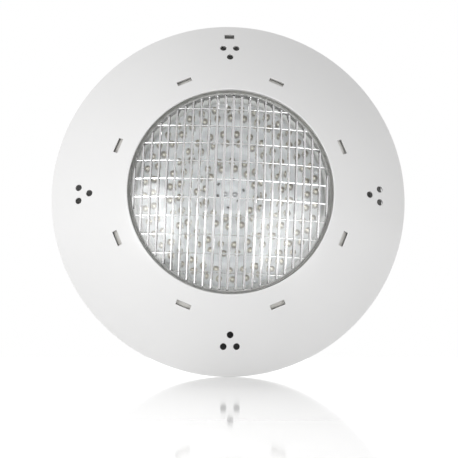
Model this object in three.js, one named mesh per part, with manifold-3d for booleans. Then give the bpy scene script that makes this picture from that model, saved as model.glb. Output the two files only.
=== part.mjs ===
// Underwater pool light: a PAR 56 lamp in a plastic housing behind a domed face ring, hung on a wall ring.
// Millimetres. +X right as seen from the front, +Z up, and +Y into the wall: the wall's face is y = 0.
// "Out" is the distance out from the wall, so a point that lies 10 out has y = -10.
import * as THREE from "three";
import { mergeVertices } from "three/addons/utils/BufferGeometryUtils.js";
import Module from "manifold-3d";

const wasm = await Module();
wasm.setup();

// Face ring
const RING_RADIUS = 145;
const OPENING_RADIUS = 80.8;
const RING_WALL = 3;
const RIM_BACK = 4;
const RIM_FRONT = 6.5;
const DOME_RADIUS = 236;
const DOME_AXIS_OFFSET = -19.75;
const DOME_CENTRE_OUT = -162.45;
const VENT_CIRCLE = 117.9;
const VENT_HOLE_RADIUS = 2.6;
const VENT_SPACING = 10.5;
const SLOT_CIRCLE = 96;
const SLOT_LENGTH = 12;
const SLOT_WIDTH = 3.6;
const HOOK_INNER = 99.8;
const BARB_INNER = 99.5;
const RELEASE_SLOT = { halfWidth: 4, low: 131.1, high: 135.9 };

// Wall ring, the pin at its bottom and the catch at its top
const WALL_RING_INNER = 110;
const WALL_RING_OUTER = 126;
const WALL_RING_THICKNESS = 6;
const WALL_SCREW_CIRCLE = 118;
const PIN_DROP = 135;
const PIN_OUT = 6;
const PIN_RADIUS = 1.75;
const HOOK_HALF_WIDTH = 10;
const LUG_WIDTH = 4.5;
const LUG_NOSE = 3.1;

// Housing
const HOUSING_DEPTH = 48;
const HOUSING_WALL = 3.2;
const FLANGE_RADIUS = 122;
const FLANGE_BACK = 6.5;
const FLANGE_FRONT = 9.5;
const SEAT_RADIUS = 91.1;
const SEAT_OUT = 27;
const BOSS_CIRCLE = 95.2;
const BOSS_RADIUS = 4;
const BOSS_TOP = 32.9;
const CLAMP_SCREWS = 8;

// Cable gland, on the back of the housing
const GLAND_Z = -28;
const CABLE_BORE = 5;
const GLAND_THREAD = 8;

// Lamp, which has an "out" of its own: 0 is LAMP_BACK behind the wall's face
const LAMP_BACK = 2.2;
const LAMP_RIM_RADIUS = 88.5;
const LENS_NECK_RADIUS = 79.4;
const LENS_NECK_WALL = 2;
const LENS_EDGE_OUT = 48.2;
const LENS_CROWN = 16;
const LENS_WALL = 2.8;
const LAMP_ROLL = 2;
const BOARD_BACK = 30.3;
const BOARD_FRONT = 31.9;
const LED_RINGS = [
  { radius: 20.3, count: 12 },
  { radius: 26.4, count: 16 },
  { radius: 40.7, count: 24 },
  { radius: 47.8, count: 28 },
  { radius: 61, count: 36 },
  { radius: 68, count: 40 },
];
const LED_RADIUS = 2.5;
const LED_HEIGHT = 8.6;
const BOARD_SCREW_CIRCLE = 71;
const BOARD_SCREW_ANGLE = 17;

const GAP = 0.3;
const RADIANS = Math.PI / 180;

const PAINT = {
  whiteGloss: { color: 0xf2f2ee, roughness: 0.25, metalness: 0 },
  whiteMatte: { color: 0xc9c7bf, roughness: 0.6, metalness: 0 },
  greyMatte: { color: 0x929290, roughness: 0.6, metalness: 0 },
  grey: { color: 0x8c8f90, roughness: 0.55, metalness: 0 },
  black: { color: 0x1b1c1d, roughness: 0.7, metalness: 0 },
  rubber: { color: 0x2a2b2c, roughness: 0.9, metalness: 0 },
  silicone: { color: 0xd8d8d2, roughness: 0.7, metalness: 0 },
  clear: { color: 0xe6eef0, roughness: 0.08, metalness: 0 },
  led: { color: 0xf4f6f0, roughness: 0.15, metalness: 0 },
  board: { color: 0xe4e9ee, roughness: 0.5, metalness: 0 },
  driver: { color: 0x2c6a43, roughness: 0.5, metalness: 0 },
  steel: { color: 0xb9bcbe, roughness: 0.3, metalness: 1 },
  aluminium: { color: 0xcfd2d4, roughness: 0.4, metalness: 1 },
  brass: { color: 0xc9a24a, roughness: 0.35, metalness: 1 },
  copper: { color: 0xb5653a, roughness: 0.4, metalness: 1 },
  redLead: { color: 0xa32a22, roughness: 0.6, metalness: 0 },
};

// ---------------------------------------------------------------- shapes

// A ring or bowl about the Y axis, from a closed profile of [radius, out] points.
function revolve(profile, segments) {
  const points = profile.map(([r, out]) => new THREE.Vector2(r, out));
  if (THREE.ShapeUtils.area(points) < 0) points.reverse();
  const onAxis = points.filter((p) => p.x === 0);
  if (onAxis.length === 2) {
    while (points[0].x !== 0 || points[points.length - 1].x !== 0) points.push(points.shift());
  } else {
    points.push(points[0].clone());
  }
  return new THREE.LatheGeometry(points, segments).rotateX(Math.PI);
}

// A plate with an outline of [x, z] points, from one distance out to another.
function plate(outline, low, high) {
  const shape = new THREE.Shape(outline.map(([x, z]) => new THREE.Vector2(x, z)));
  const options = { depth: high - low, bevelEnabled: false };
  return new THREE.ExtrudeGeometry(shape, options).rotateX(Math.PI / 2).translate(0, -low, 0);
}

// A rib with an outline of [out, z] points, from one x to another.
function rib(outline, left, right) {
  const shape = new THREE.Shape(outline.map(([out, z]) => new THREE.Vector2(out, z)));
  const options = { depth: right - left, bevelEnabled: false };
  const turn = new THREE.Matrix4().set(0, 0, -1, right, -1, 0, 0, 0, 0, 1, 0, 0, 0, 0, 0, 1);
  return new THREE.ExtrudeGeometry(shape, options).applyMatrix4(turn);
}

// A box between two corners, given as x, out and z ranges.
function box([x0, x1], [out0, out1], [z0, z1]) {
  return new THREE.BoxGeometry(x1 - x0, out1 - out0, z1 - z0).translate(
    (x0 + x1) / 2,
    -(out0 + out1) / 2,
    (z0 + z1) / 2,
  );
}

// A rod along Y, from one distance out to another, at an x and z.
function rod(radius, low, high, x = 0, z = 0, segments = 12) {
  return new THREE.CylinderGeometry(radius, radius, high - low, segments).translate(
    x,
    -(low + high) / 2,
    z,
  );
}

// A rod along X at a distance out and a z.
function crossRod(radius, left, right, out, z, segments = 16) {
  return new THREE.CylinderGeometry(radius, radius, right - left, segments)
    .rotateZ(Math.PI / 2)
    .translate((left + right) / 2, -out, z);
}

// A wire of round section along a smooth curve through [x, out, z] points.
function wire(route, radius, steps, sides = 6) {
  const curve = new THREE.CatmullRomCurve3(route.map(([x, out, z]) => new THREE.Vector3(x, -out, z)));
  const section = new THREE.Shape(
    circlePoints(radius, sides).map(([x, y]) => new THREE.Vector2(x, y)),
  );
  return new THREE.ExtrudeGeometry(section, { steps, extrudePath: curve, bevelEnabled: false });
}

function circlePoints(radius, sides) {
  return Array.from({ length: sides }, (_, i) => polar(radius, (360 * i) / sides));
}

function arc(radius, from, to, steps = 6) {
  return Array.from({ length: steps + 1 }, (_, i) => polar(radius, from + ((to - from) * i) / steps));
}

// The point at a radius and an angle from +X towards +Z.
function polar(radius, degrees) {
  return [radius * Math.cos(degrees * RADIANS), radius * Math.sin(degrees * RADIANS)];
}

// Copies of a geometry made at angle 0 (+X), turned to evenly spaced angles about the Y axis.
function around(count, startDegrees, geometry) {
  return Array.from({ length: count }, (_, i) =>
    geometry.clone().rotateY(-(startDegrees + (360 * i) / count) * RADIANS),
  );
}

// ---------------------------------------------------------------- joining and cutting

function solid(shape) {
  if (!shape.isBufferGeometry) return shape;
  const bare = shape.clone();
  bare.deleteAttribute("normal");
  bare.deleteAttribute("uv");
  const merged = mergeVertices(bare, 1e-4);
  return new wasm.Manifold(
    new wasm.Mesh({
      numProp: 3,
      vertProperties: merged.attributes.position.array,
      triVerts: new Uint32Array(merged.index.array),
    }),
  );
}

function join(...shapes) {
  return shapes.flat().map(solid).reduce((whole, next) => whole.add(next));
}

function cut(body, ...tools) {
  return solid(body).subtract(join(...tools));
}

function geometryOf(shape) {
  const mesh = solid(shape).getMesh();
  return new THREE.BufferGeometry()
    .setAttribute("position", new THREE.BufferAttribute(mesh.vertProperties, 3))
    .setIndex(new THREE.BufferAttribute(mesh.triVerts, 1));
}

function piece(name, shape, paint) {
  const mesh = new THREE.Mesh(geometryOf(shape), new THREE.MeshStandardMaterial(paint));
  mesh.name = name;
  return mesh;
}

// ---------------------------------------------------------------- screws

// A screw along Y with its head outwards: head radius and height, shank radius and length.
function screw(head, headHeight, shank, length) {
  const profile = [
    [0, headHeight],
    [head, headHeight],
    [head, 0],
    [shank, 0],
    [shank, -length],
    [0, -length - shank],
  ];
  return revolve(profile, 8);
}

// ---------------------------------------------------------------- wall side

function wallRing() {
  const band = revolve(
    [
      [WALL_RING_INNER, 0],
      [WALL_RING_OUTER, 0],
      [WALL_RING_OUTER, WALL_RING_THICKNESS],
      [WALL_RING_INNER, WALL_RING_THICKNESS],
    ],
    56,
  );
  const catchBlock = box([-11, 11], [0, 5.7], [120, 138]);
  const catchPocket = box([-6.5, 6.5], [-1, 3.7], [127, 136.8]);
  const catchWindow = box([-6, 6], [3, 7], [127, 133.3]);
  const nose = arc(LUG_NOSE, -120, 30).map(([out, z]) => [PIN_OUT + out, z - PIN_DROP]);
  const lugOutline = [[0, -122], [0, -PIN_DROP - 0.5], ...nose, [6, -127], [6, -122]];
  const lugInner = HOOK_HALF_WIDTH + 0.5;
  const lugs = [-lugInner - LUG_WIDTH, lugInner].map((left) =>
    rib(lugOutline, left, left + LUG_WIDTH),
  );
  const pinHole = crossRod(PIN_RADIUS + GAP, -20, 20, PIN_OUT, -PIN_DROP, 16);
  const screwHole = join(
    rod(2.4, -1, 7, WALL_SCREW_CIRCLE, 0, 8),
    rod(4.9, 3.2, 7, WALL_SCREW_CIRCLE, 0, 12),
  );
  const screwHoles = around(4, 45, geometryOf(screwHole));
  return cut(join(band, catchBlock, lugs), catchPocket, catchWindow, pinHole, ...screwHoles);
}

function wallScrews() {
  return [45, 135, 225, 315].map((angle, i) => {
    const mesh = piece(`wall_screw_${i + 1}`, screw(4.4, 2.2, 2, 24), PAINT.steel);
    const [x, z] = polar(WALL_SCREW_CIRCLE, angle);
    mesh.position.set(x, -3.6, z);
    return mesh;
  });
}

// ---------------------------------------------------------------- front unit

// The housing's bowl, from the seat of the lamp back to the flat that carries the gland.
function housingShell() {
  return revolve(
    [
      [0, -HOUSING_DEPTH],
      [60, -HOUSING_DEPTH],
      [78, -32],
      [89, -14],
      [94.5, FLANGE_BACK],
      [FLANGE_RADIUS, FLANGE_BACK],
      [FLANGE_RADIUS, FLANGE_FRONT],
      [94.5, FLANGE_FRONT],
      [94.5, BOSS_TOP],
      [SEAT_RADIUS, BOSS_TOP],
      [SEAT_RADIUS, SEAT_OUT],
      [84.5, SEAT_OUT],
      [84.5, SEAT_OUT - 2.8],
      [91, SEAT_OUT - 7],
      [91, FLANGE_BACK],
      [85.7, -13],
      [75, -30.2],
      [58.6, -HOUSING_DEPTH + HOUSING_WALL],
      [0, -HOUSING_DEPTH + HOUSING_WALL],
    ],
    48,
  );
}

// The hook that hangs over the pin: an upturned U open at the bottom.
function housingHook() {
  const bore = PIN_RADIUS + 0.35;
  const over = 3.9;
  const round = (radius, from, to) =>
    arc(radius, from, to).map(([out, z]) => [PIN_OUT + out, z - PIN_DROP]);
  const outline = [
    [PIN_OUT + over, -PIN_DROP - 1],
    ...round(over, 0, 180),
    [PIN_OUT - over, -PIN_DROP - 3],
    [PIN_OUT - bore, -PIN_DROP - 3],
    ...round(bore, 180, 0),
    [PIN_OUT + bore, -PIN_DROP - 1],
  ];
  const hook = rib(outline, -HOOK_HALF_WIDTH, HOOK_HALF_WIDTH);
  const arm = box(
    [-HOOK_HALF_WIDTH, HOOK_HALF_WIDTH],
    [FLANGE_BACK, FLANGE_FRONT],
    [-PIN_DROP + 3.3, -120],
  );
  const webs = [-HOOK_HALF_WIDTH, HOOK_HALF_WIDTH - 2].map((left) =>
    rib(
      [
        [FLANGE_FRONT - 1, -131],
        [FLANGE_FRONT + 1, -131],
        [FLANGE_FRONT + 9, -112],
        [FLANGE_FRONT + 9, -94],
        [FLANGE_FRONT - 1, -94],
      ],
      left,
      left + 2,
    ),
  );
  return [hook, arm, ...webs];
}

const LATCH_CHANNEL = { halfWidth: 5.4, back: 7.1, front: 13.1, low: 104, high: 128 };

function lampHousing() {
  const bosses = around(
    CLAMP_SCREWS,
    0,
    rod(BOSS_RADIUS, FLANGE_BACK + 1, BOSS_TOP, BOSS_CIRCLE, 0, 8),
  );
  const guide = box([-11, 11], [FLANGE_BACK, LATCH_CHANNEL.front], [98, LATCH_CHANNEL.high]);
  const channel = box(
    [-LATCH_CHANNEL.halfWidth, LATCH_CHANNEL.halfWidth],
    [LATCH_CHANNEL.back, 20],
    [LATCH_CHANNEL.low, 140],
  );
  const coverScrewHoles = [-8.2, 8.2].map((x) => rod(1.4, 8, 20, x, 122, 8));
  const screwHoles = around(CLAMP_SCREWS, 0, rod(1.75, 21, 40, BOSS_CIRCLE, 0, 6));
  const glandHole = rod(GLAND_THREAD + GAP, -50, -40, 0, GLAND_Z, 16);
  return cut(
    join(housingShell(), bosses, guide, housingHook()),
    channel,
    ...coverScrewHoles,
    ...screwHoles,
    glandHole,
  );
}

function lampGasket() {
  const back = SEAT_OUT + GAP;
  return revolve(
    [
      [84.9, back],
      [90.8, back],
      [90.8, back + 11.3],
      [83.2, back + 11.3],
      [83.2, back + 9.5],
      [88.8, back + 9.5],
      [88.8, back + 2.2],
      [84.9, back + 2.2],
    ],
    40,
  );
}

// The step round the ring's rim leaves a gap behind the outer edge of the face ring's slots.
function clampRing() {
  const ring = revolve(
    [
      [SEAT_RADIUS, 33.2],
      [99.2, 33.2],
      [99.2, 35.4],
      [97.2, 35.4],
      [97.2, 38.2],
      [93.4, 40.3],
      [82.5, 42],
      [82.5, 38.9],
      [SEAT_RADIUS, 38.9],
    ],
    48,
  );
  const holes = around(CLAMP_SCREWS, 0, rod(1.75, 30, 40, BOSS_CIRCLE, 0, 6));
  const counterbores = around(CLAMP_SCREWS, 0, rod(3, 34.9, 45, BOSS_CIRCLE, 0, 10));
  return cut(ring, ...holes, ...counterbores);
}

function clampScrews() {
  return Array.from({ length: CLAMP_SCREWS }, (_, i) => {
    const mesh = piece(`clamp_screw_${i + 1}`, screw(2.6, 1.7, 1.4, 11), PAINT.steel);
    const [x, z] = polar(BOSS_CIRCLE, (360 * i) / CLAMP_SCREWS);
    mesh.position.set(x, -35.2, z);
    return mesh;
  });
}

// The gland's pieces are made about their own axis and moved down to the gland's place.
function glandPieces() {
  const back = -HOUSING_DEPTH;
  const thread = revolve(
    [
      [CABLE_BORE, back - 15],
      [GLAND_THREAD, back - 15],
      [GLAND_THREAD, back + 10],
      [CABLE_BORE, back + 10],
    ],
    16,
  );
  const flange = cut(hexagon(12.5, back - 6, back - GAP), rod(CABLE_BORE, back - 30, back + 30, 0, 0, 16));
  const body = join(thread, flange);
  const locknut = cut(
    hexagon(11.5, back + HOUSING_WALL + GAP, back + HOUSING_WALL + 5.3),
    rod(GLAND_THREAD + GAP, back - 5, back + 20, 0, 0, 16),
  );
  const seal = revolve(
    [
      [CABLE_BORE + 0.1, back - 19.2],
      [7.6, back - 19.2],
      [7.9, back - 15.4],
      [CABLE_BORE + 0.1, back - 15.4],
    ],
    16,
  );
  const shoulder = revolve(
    [
      [CABLE_BORE + 0.1, back - 23.5],
      [7.5, back - 23.5],
      [9.6, back - 18],
      [9.6, back - 17],
      [GLAND_THREAD + GAP, back - 17],
      [GLAND_THREAD + GAP, back - 19.5],
      [CABLE_BORE + 0.1, back - 19.5],
    ],
    16,
  );
  const collar = cut(
    hexagon(12, back - 18, back - 7),
    rod(GLAND_THREAD + GAP, back - 19, back, 0, 0, 16),
  );
  const named = [
    piece("gland_body", body, PAINT.grey),
    piece("gland_locknut", locknut, PAINT.grey),
    piece("gland_seal", seal, PAINT.rubber),
    piece("gland_nut", join(collar, shoulder), PAINT.grey),
  ];
  named.forEach((mesh) => mesh.position.set(0, 0, GLAND_Z));
  return named;
}

function hexagon(cornerRadius, low, high) {
  return plate(circlePoints(cornerRadius, 6), low, high);
}

function latchCover() {
  const lid = box([-11, 11], [13.4, 14.9], [102, 126]);
  return cut(lid, ...[-8.2, 8.2].map((x) => rod(1.4, 12, 20, x, 122, 8)));
}

function latchCoverScrews() {
  return [-8.2, 8.2].map((x, i) => {
    const mesh = piece(`latch_cover_screw_${i + 1}`, screw(2.1, 1.3, 1.1, 4.6), PAINT.steel);
    mesh.position.set(x, -15.2, 122);
    return mesh;
  });
}

// A compression spring under the latch, standing along Z.
function latchSpring() {
  const bottom = LATCH_CHANNEL.low + 0.8;
  const top = 112;
  const turns = 4;
  const steps = 36;
  const route = Array.from({ length: steps + 1 }, (_, i) => {
    const angle = (2 * Math.PI * turns * i) / steps;
    const z = bottom + ((top - bottom) * i) / steps;
    return [2 * Math.cos(angle), 10.1 + 2 * Math.sin(angle), z];
  });
  return wire(route, 0.35, steps, 4);
}

// ---------------------------------------------------------------- latch

function releaseLatch() {
  const slider = box([-5, 5], [7.5, 12.7], [113, 125]);
  const neck = box([-5, 5], [7.5, 9.5], [124, 134.3]);
  const arm = box([-4.6, 4.6], [1.5, 8], [128.5, 131]);
  const barb = rib(
    [
      [1.5, 130],
      [3.4, 130],
      [3.4, 132.9],
      [2.4, 132.9],
      [1.5, 131.4],
    ],
    -4.6,
    4.6,
  );
  return join(slider, neck, arm, barb);
}

// ---------------------------------------------------------------- face ring

// How far out the dome of a given radius stands at a distance from the lamp's axis.
function domeOut(radius, r) {
  return DOME_CENTRE_OUT + Math.sqrt(radius ** 2 - (r - DOME_AXIS_OFFSET) ** 2);
}

function domeArc(radius, from, to, steps) {
  return Array.from({ length: steps + 1 }, (_, i) => {
    const r = from + ((to - from) * i) / steps;
    return [r, domeOut(radius, r)];
  });
}

function faceRingShell() {
  const lip = OPENING_RADIUS + 1.8;
  const lipOut = domeOut(DOME_RADIUS, lip);
  const inside = DOME_RADIUS - RING_WALL;
  const rimInner = RING_RADIUS - 3.2;
  return revolve(
    [
      [RING_RADIUS, RIM_BACK],
      [RING_RADIUS, RIM_FRONT],
      ...domeArc(DOME_RADIUS, 144.2, lip, 5),
      [OPENING_RADIUS + 0.5, lipOut - 0.3],
      [OPENING_RADIUS, lipOut - 1.4],
      [OPENING_RADIUS, domeOut(inside, 83) - 0.2],
      ...domeArc(inside, 83, rimInner, 4),
      [rimInner, RIM_BACK],
    ],
    64,
  );
}

// The leg and barb of one snap hook, at angle 0.
function snapHook() {
  const leg = box([HOOK_INNER, HOOK_INNER + 2], [29.5, domeOut(DOME_RADIUS - 1.5, 102)], [-5, 5]);
  const barb = box([BARB_INNER, HOOK_INNER + 0.5], [29.5, 32.9], [-5, 5]);
  return geometryOf(join(leg, barb));
}

function ventHoles() {
  const rise = (VENT_SPACING * Math.sqrt(3)) / 2;
  const inner = VENT_CIRCLE - (2 * rise) / 3;
  const outer = VENT_CIRCLE + rise / 3;
  const places = [
    [inner, 0],
    [outer, VENT_SPACING / 2],
    [outer, -VENT_SPACING / 2],
  ];
  return places.flatMap(([x, z]) => around(4, 0, rod(VENT_HOLE_RADIUS, 5, 50, x, z, 8)));
}

function faceRing() {
  const halfWidth = SLOT_WIDTH / 2;
  const halfLength = SLOT_LENGTH / 2;
  const slot = box(
    [SLOT_CIRCLE - halfWidth, SLOT_CIRCLE + halfWidth],
    [30, 60],
    [-halfLength, halfLength],
  );
  const release = box(
    [-RELEASE_SLOT.halfWidth, RELEASE_SLOT.halfWidth],
    [5, 30],
    [RELEASE_SLOT.low, RELEASE_SLOT.high],
  );
  const shell = cut(faceRingShell(), ...ventHoles(), ...around(8, 22.5, slot), release);
  return join(shell, ...around(8, 22.5, snapHook()));
}

// ---------------------------------------------------------------- lamp

// How far out a shallow dome stands at a radius, from its edge radius, edge height and crown.
function crownOut(edgeRadius, edgeOut, crown, r) {
  const radius = (edgeRadius ** 2 + crown ** 2) / (2 * crown);
  return edgeOut + crown - radius + Math.sqrt(radius ** 2 - r ** 2);
}

function crownArc(edgeRadius, edgeOut, crown, from, to, steps) {
  return Array.from({ length: steps + 1 }, (_, i) => {
    const r = from + ((to - from) * i) / steps;
    return [r, crownOut(edgeRadius, edgeOut, crown, r)];
  });
}

function lens() {
  const inner = LENS_NECK_RADIUS - LENS_NECK_WALL;
  const innerEdgeOut = LENS_EDGE_OUT - 1.7;
  const innerCrown = LENS_EDGE_OUT + LENS_CROWN - LENS_WALL - innerEdgeOut;
  return revolve(
    [
      ...crownArc(LENS_NECK_RADIUS, LENS_EDGE_OUT, LENS_CROWN, 0, LENS_NECK_RADIUS - 0.6, 5),
      [LENS_NECK_RADIUS, LENS_EDGE_OUT - 0.5],
      [LENS_NECK_RADIUS, 38.7],
      [LAMP_RIM_RADIUS, 38.7],
      [LAMP_RIM_RADIUS, 36.5],
      [inner, 36.5],
      ...crownArc(inner, innerEdgeOut, innerCrown, inner, 0, 4),
    ],
    48,
  );
}

function lensSeal() {
  return revolve(
    [
      [77.5, 34.8],
      [88, 34.8],
      [88, 36.2],
      [77.5, 36.2],
    ],
    40,
  );
}

function lampBowl() {
  const bowl = revolve(
    [
      [0, -16],
      [34, -16],
      [46, -12.5],
      [59, -1],
      [69.5, 13],
      [76.1, 24.2],
      [79.8, 32],
      [LAMP_RIM_RADIUS, 32],
      [LAMP_RIM_RADIUS, 34.5],
      [77.6, 34.5],
      [76, 30],
      [75.2, 26.7],
      [64, 26.7],
      [64, 24.2],
      [73.6, 24.2],
      [67.2, 13.6],
      [57, 0.2],
      [45, -10.3],
      [33.4, -13.8],
      [0, -13.8],
    ],
    40,
  );
  return cut(bowl, ...[-14, 14].map((x) => rod(3 + GAP, -20, -10, x)));
}

// The LEDs stand on one thin carrier sheet, so that the whole array is a single piece.
function ledArray() {
  const sheetBack = BOARD_FRONT + GAP;
  const sheetFront = sheetBack + 0.5;
  const sheet = revolve(
    [
      [12, sheetBack],
      [70.8, sheetBack],
      [70.8, sheetFront],
      [12, sheetFront],
    ],
    40,
  );
  const led = revolve(
    [
      [0, sheetBack + 0.2],
      [LED_RADIUS, sheetBack + 0.2],
      [LED_RADIUS - 0.6, sheetBack + LED_HEIGHT],
      [0, sheetBack + LED_HEIGHT],
    ],
    4,
  );
  const outerPitch = 360 / LED_RINGS[LED_RINGS.length - 1].count;
  const leds = LED_RINGS.flatMap(({ radius, count }) =>
    around(count, BOARD_SCREW_ANGLE + outerPitch / 2, led.clone().translate(radius, 0, 0)),
  );
  const screwGaps = around(4, BOARD_SCREW_ANGLE, rod(2.4, 30, 40, BOARD_SCREW_CIRCLE, 0, 6));
  return cut(join(sheet, ...leds), ...screwGaps);
}

const LEAD_HOLES = [-4, 4].map((x) => rod(1.6, 20, 40, x, 0, 8));

function boardScrewHoles() {
  return around(4, BOARD_SCREW_ANGLE, rod(1.5, 26.8, 40, BOARD_SCREW_CIRCLE, 0, 8));
}

function ledBoard() {
  return cut(rod(73.5, BOARD_BACK, BOARD_FRONT, 0, 0, 48), ...boardScrewHoles(), ...LEAD_HOLES);
}

function heatSpreader() {
  return cut(rod(73, 27, 30, 0, 0, 40), ...boardScrewHoles(), ...LEAD_HOLES);
}

function boardScrews() {
  return [0, 1, 2, 3].map((i) => {
    const mesh = piece(`board_screw_${i + 1}`, screw(1.9, 1.4, 1.2, 4.1), PAINT.steel);
    const [x, z] = polar(BOARD_SCREW_CIRCLE, BOARD_SCREW_ANGLE + 90 * i);
    mesh.position.set(x, -BOARD_FRONT - GAP, z);
    return mesh;
  });
}

function driverPieces() {
  const standoffs = [90, 210, 330].map((angle, i) => {
    const [x, z] = polar(33, angle);
    return piece(`driver_standoff_${i + 1}`, rod(2.5, 3.9, 26.7, x, z, 6), PAINT.brass);
  });
  const coil = revolve(
    [
      [2.6, -5.7],
      [6.5, -5.7],
      [6.5, 1.7],
      [2.6, 1.7],
    ],
    12,
  );
  return [
    piece("driver_board", rod(38, 2, 3.6, 0, 0, 32), PAINT.driver),
    ...standoffs,
    piece("rectifier", box([-7.5, 7.5], [-2.8, 1.7], [12, 27]), PAINT.black),
    piece("capacitor_1", rod(5, -10.3, 1.7, -9, -18, 12), PAINT.black),
    piece("capacitor_2", rod(5, -10.3, 1.7, 9, -18, 12), PAINT.black),
    piece("driver_coil", coil.translate(25, 0, 4), PAINT.copper),
  ];
}

function leadPieces() {
  return [-1, 1].flatMap((side, i) => {
    const boardLead = wire(
      [
        [side * 12, 3.9, 6],
        [side * 12, 10, 6],
        [side * 6, 19, 2],
        [side * 4, 26, 0],
        [side * 4, 33.2, 0],
      ],
      0.8,
      12,
    );
    const terminalLead = wire(
      [
        [side * 14, -11.5, 0],
        [side * 14.5, -7, 1.5],
        [side * 16, -3, 4],
        [side * 16, 1.7, 4],
      ],
      0.8,
      8,
    );
    const paint = side < 0 ? PAINT.black : PAINT.redLead;
    return [
      piece(`board_lead_${i + 1}`, boardLead, paint),
      piece(`terminal_lead_${i + 1}`, terminalLead, paint),
    ];
  });
}

function terminalPieces() {
  return [-14, 14].flatMap((x, i) => [
    piece(`terminal_post_${i + 1}`, rod(3, -24, -11.9, x, 0, 10), PAINT.brass),
    piece(
      `terminal_screw_${i + 1}`,
      revolve([[0, -27.3], [3.6, -27.3], [3.6, -24.3], [0, -24.3]], 10).translate(x, 0, 0),
      PAINT.brass,
    ),
  ]);
}

// ---------------------------------------------------------------- assembly

const wallSide = new THREE.Group();
wallSide.add(
  piece("wall_ring", wallRing(), PAINT.greyMatte),
  piece("hook_pin", crossRod(PIN_RADIUS, -14.8, 14.8, PIN_OUT, -PIN_DROP, 12), PAINT.steel),
  ...wallScrews(),
);

const lamp = new THREE.Group();
lamp.rotation.y = LAMP_ROLL * RADIANS;
lamp.position.y = LAMP_BACK;
lamp.add(
  piece("lens", lens(), PAINT.clear),
  piece("lens_seal", lensSeal(), PAINT.silicone),
  piece("lamp_bowl", lampBowl(), PAINT.whiteMatte),
  piece("led_board", ledBoard(), PAINT.board),
  piece("led_array", ledArray(), PAINT.led),
  piece("heat_spreader", heatSpreader(), PAINT.aluminium),
  ...boardScrews(),
  ...driverPieces(),
  ...leadPieces(),
  ...terminalPieces(),
);

const frontUnit = new THREE.Group();
frontUnit.add(
  piece("lamp_housing", lampHousing(), PAINT.greyMatte),
  piece("lamp_gasket", lampGasket(), PAINT.silicone),
  piece("clamp_ring", clampRing(), PAINT.whiteMatte),
  ...clampScrews(),
  ...glandPieces(),
  piece("latch_cover", latchCover(), PAINT.greyMatte),
  ...latchCoverScrews(),
  piece("latch_spring", latchSpring(), PAINT.steel),
  piece("release_latch", releaseLatch(), PAINT.whiteMatte),
  piece("face_ring", faceRing(), PAINT.whiteGloss),
  lamp,
);

const poolLight = new THREE.Group();
poolLight.add(wallSide, frontUnit);

export default poolLight;
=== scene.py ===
"""Underwater pool light: the looks of a PAR 56 lamp behind a domed white face ring.

The frame is the CAD model's: metres, +X right as seen from the front, +Z up, +Y into the wall.
Outlines and profiles are written in millimetres, as on a drawing, and become metres when a mesh is made.
"Out" is the distance out from the wall's face, so a point that lies 10 out has y = -0.010.
"""

import math
import random

import bmesh
import bpy
from mathutils import Matrix, Vector


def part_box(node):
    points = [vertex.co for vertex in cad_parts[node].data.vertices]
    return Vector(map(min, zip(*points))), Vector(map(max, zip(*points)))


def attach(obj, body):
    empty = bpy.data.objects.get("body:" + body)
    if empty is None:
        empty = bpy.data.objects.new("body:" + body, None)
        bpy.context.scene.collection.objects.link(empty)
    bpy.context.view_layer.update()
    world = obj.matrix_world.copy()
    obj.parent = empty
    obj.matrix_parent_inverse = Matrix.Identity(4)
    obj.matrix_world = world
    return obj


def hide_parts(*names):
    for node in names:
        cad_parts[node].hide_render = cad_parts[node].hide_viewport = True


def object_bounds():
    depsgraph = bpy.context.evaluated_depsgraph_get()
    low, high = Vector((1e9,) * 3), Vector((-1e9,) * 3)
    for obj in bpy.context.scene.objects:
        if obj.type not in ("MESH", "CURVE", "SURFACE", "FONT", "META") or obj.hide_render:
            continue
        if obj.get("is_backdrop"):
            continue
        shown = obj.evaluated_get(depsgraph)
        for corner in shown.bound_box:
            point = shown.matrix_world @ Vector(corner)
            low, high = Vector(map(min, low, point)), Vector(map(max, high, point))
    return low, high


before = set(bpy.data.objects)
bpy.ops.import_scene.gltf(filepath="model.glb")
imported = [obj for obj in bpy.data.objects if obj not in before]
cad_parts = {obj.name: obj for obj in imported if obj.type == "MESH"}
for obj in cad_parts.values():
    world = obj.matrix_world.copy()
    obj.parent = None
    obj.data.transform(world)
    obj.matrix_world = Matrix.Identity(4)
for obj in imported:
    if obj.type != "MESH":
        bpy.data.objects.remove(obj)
cad_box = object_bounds()

MM = 0.001
ON_AXIS = 1e-6
FINE = 256
MEDIUM = 128


def box_of(node):
    """A CAD node's lowest and highest x, out and z, in millimetres."""
    low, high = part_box(node)
    lowest = Vector((low[0], -high[1], low[2])) / MM
    highest = Vector((high[0], -low[1], high[2])) / MM
    return lowest, highest


# The face ring's dome is a shell turned about the lamp's axis, from an arc whose centre lies past it.
OPENING_RADIUS = 80.8
RING_WALL = 3.0
DOME_RADIUS = 236.0
DOME_AXIS_OFFSET = -19.75
DOME_CENTRE_OUT = -162.45
VENT_CIRCLE = 117.9
VENT_RADIUS = 2.6
VENT_SPACING = 10.5
SLOTS = 8
FIRST_SLOT_ANGLE = 22.5
SLOT_CIRCLE = 96.0
SLOT_LENGTH = 12.0
SLOT_WIDTH = 3.6
RELEASE_SLOT = ((-4.0, 131.1), (4.0, 135.9))

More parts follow.
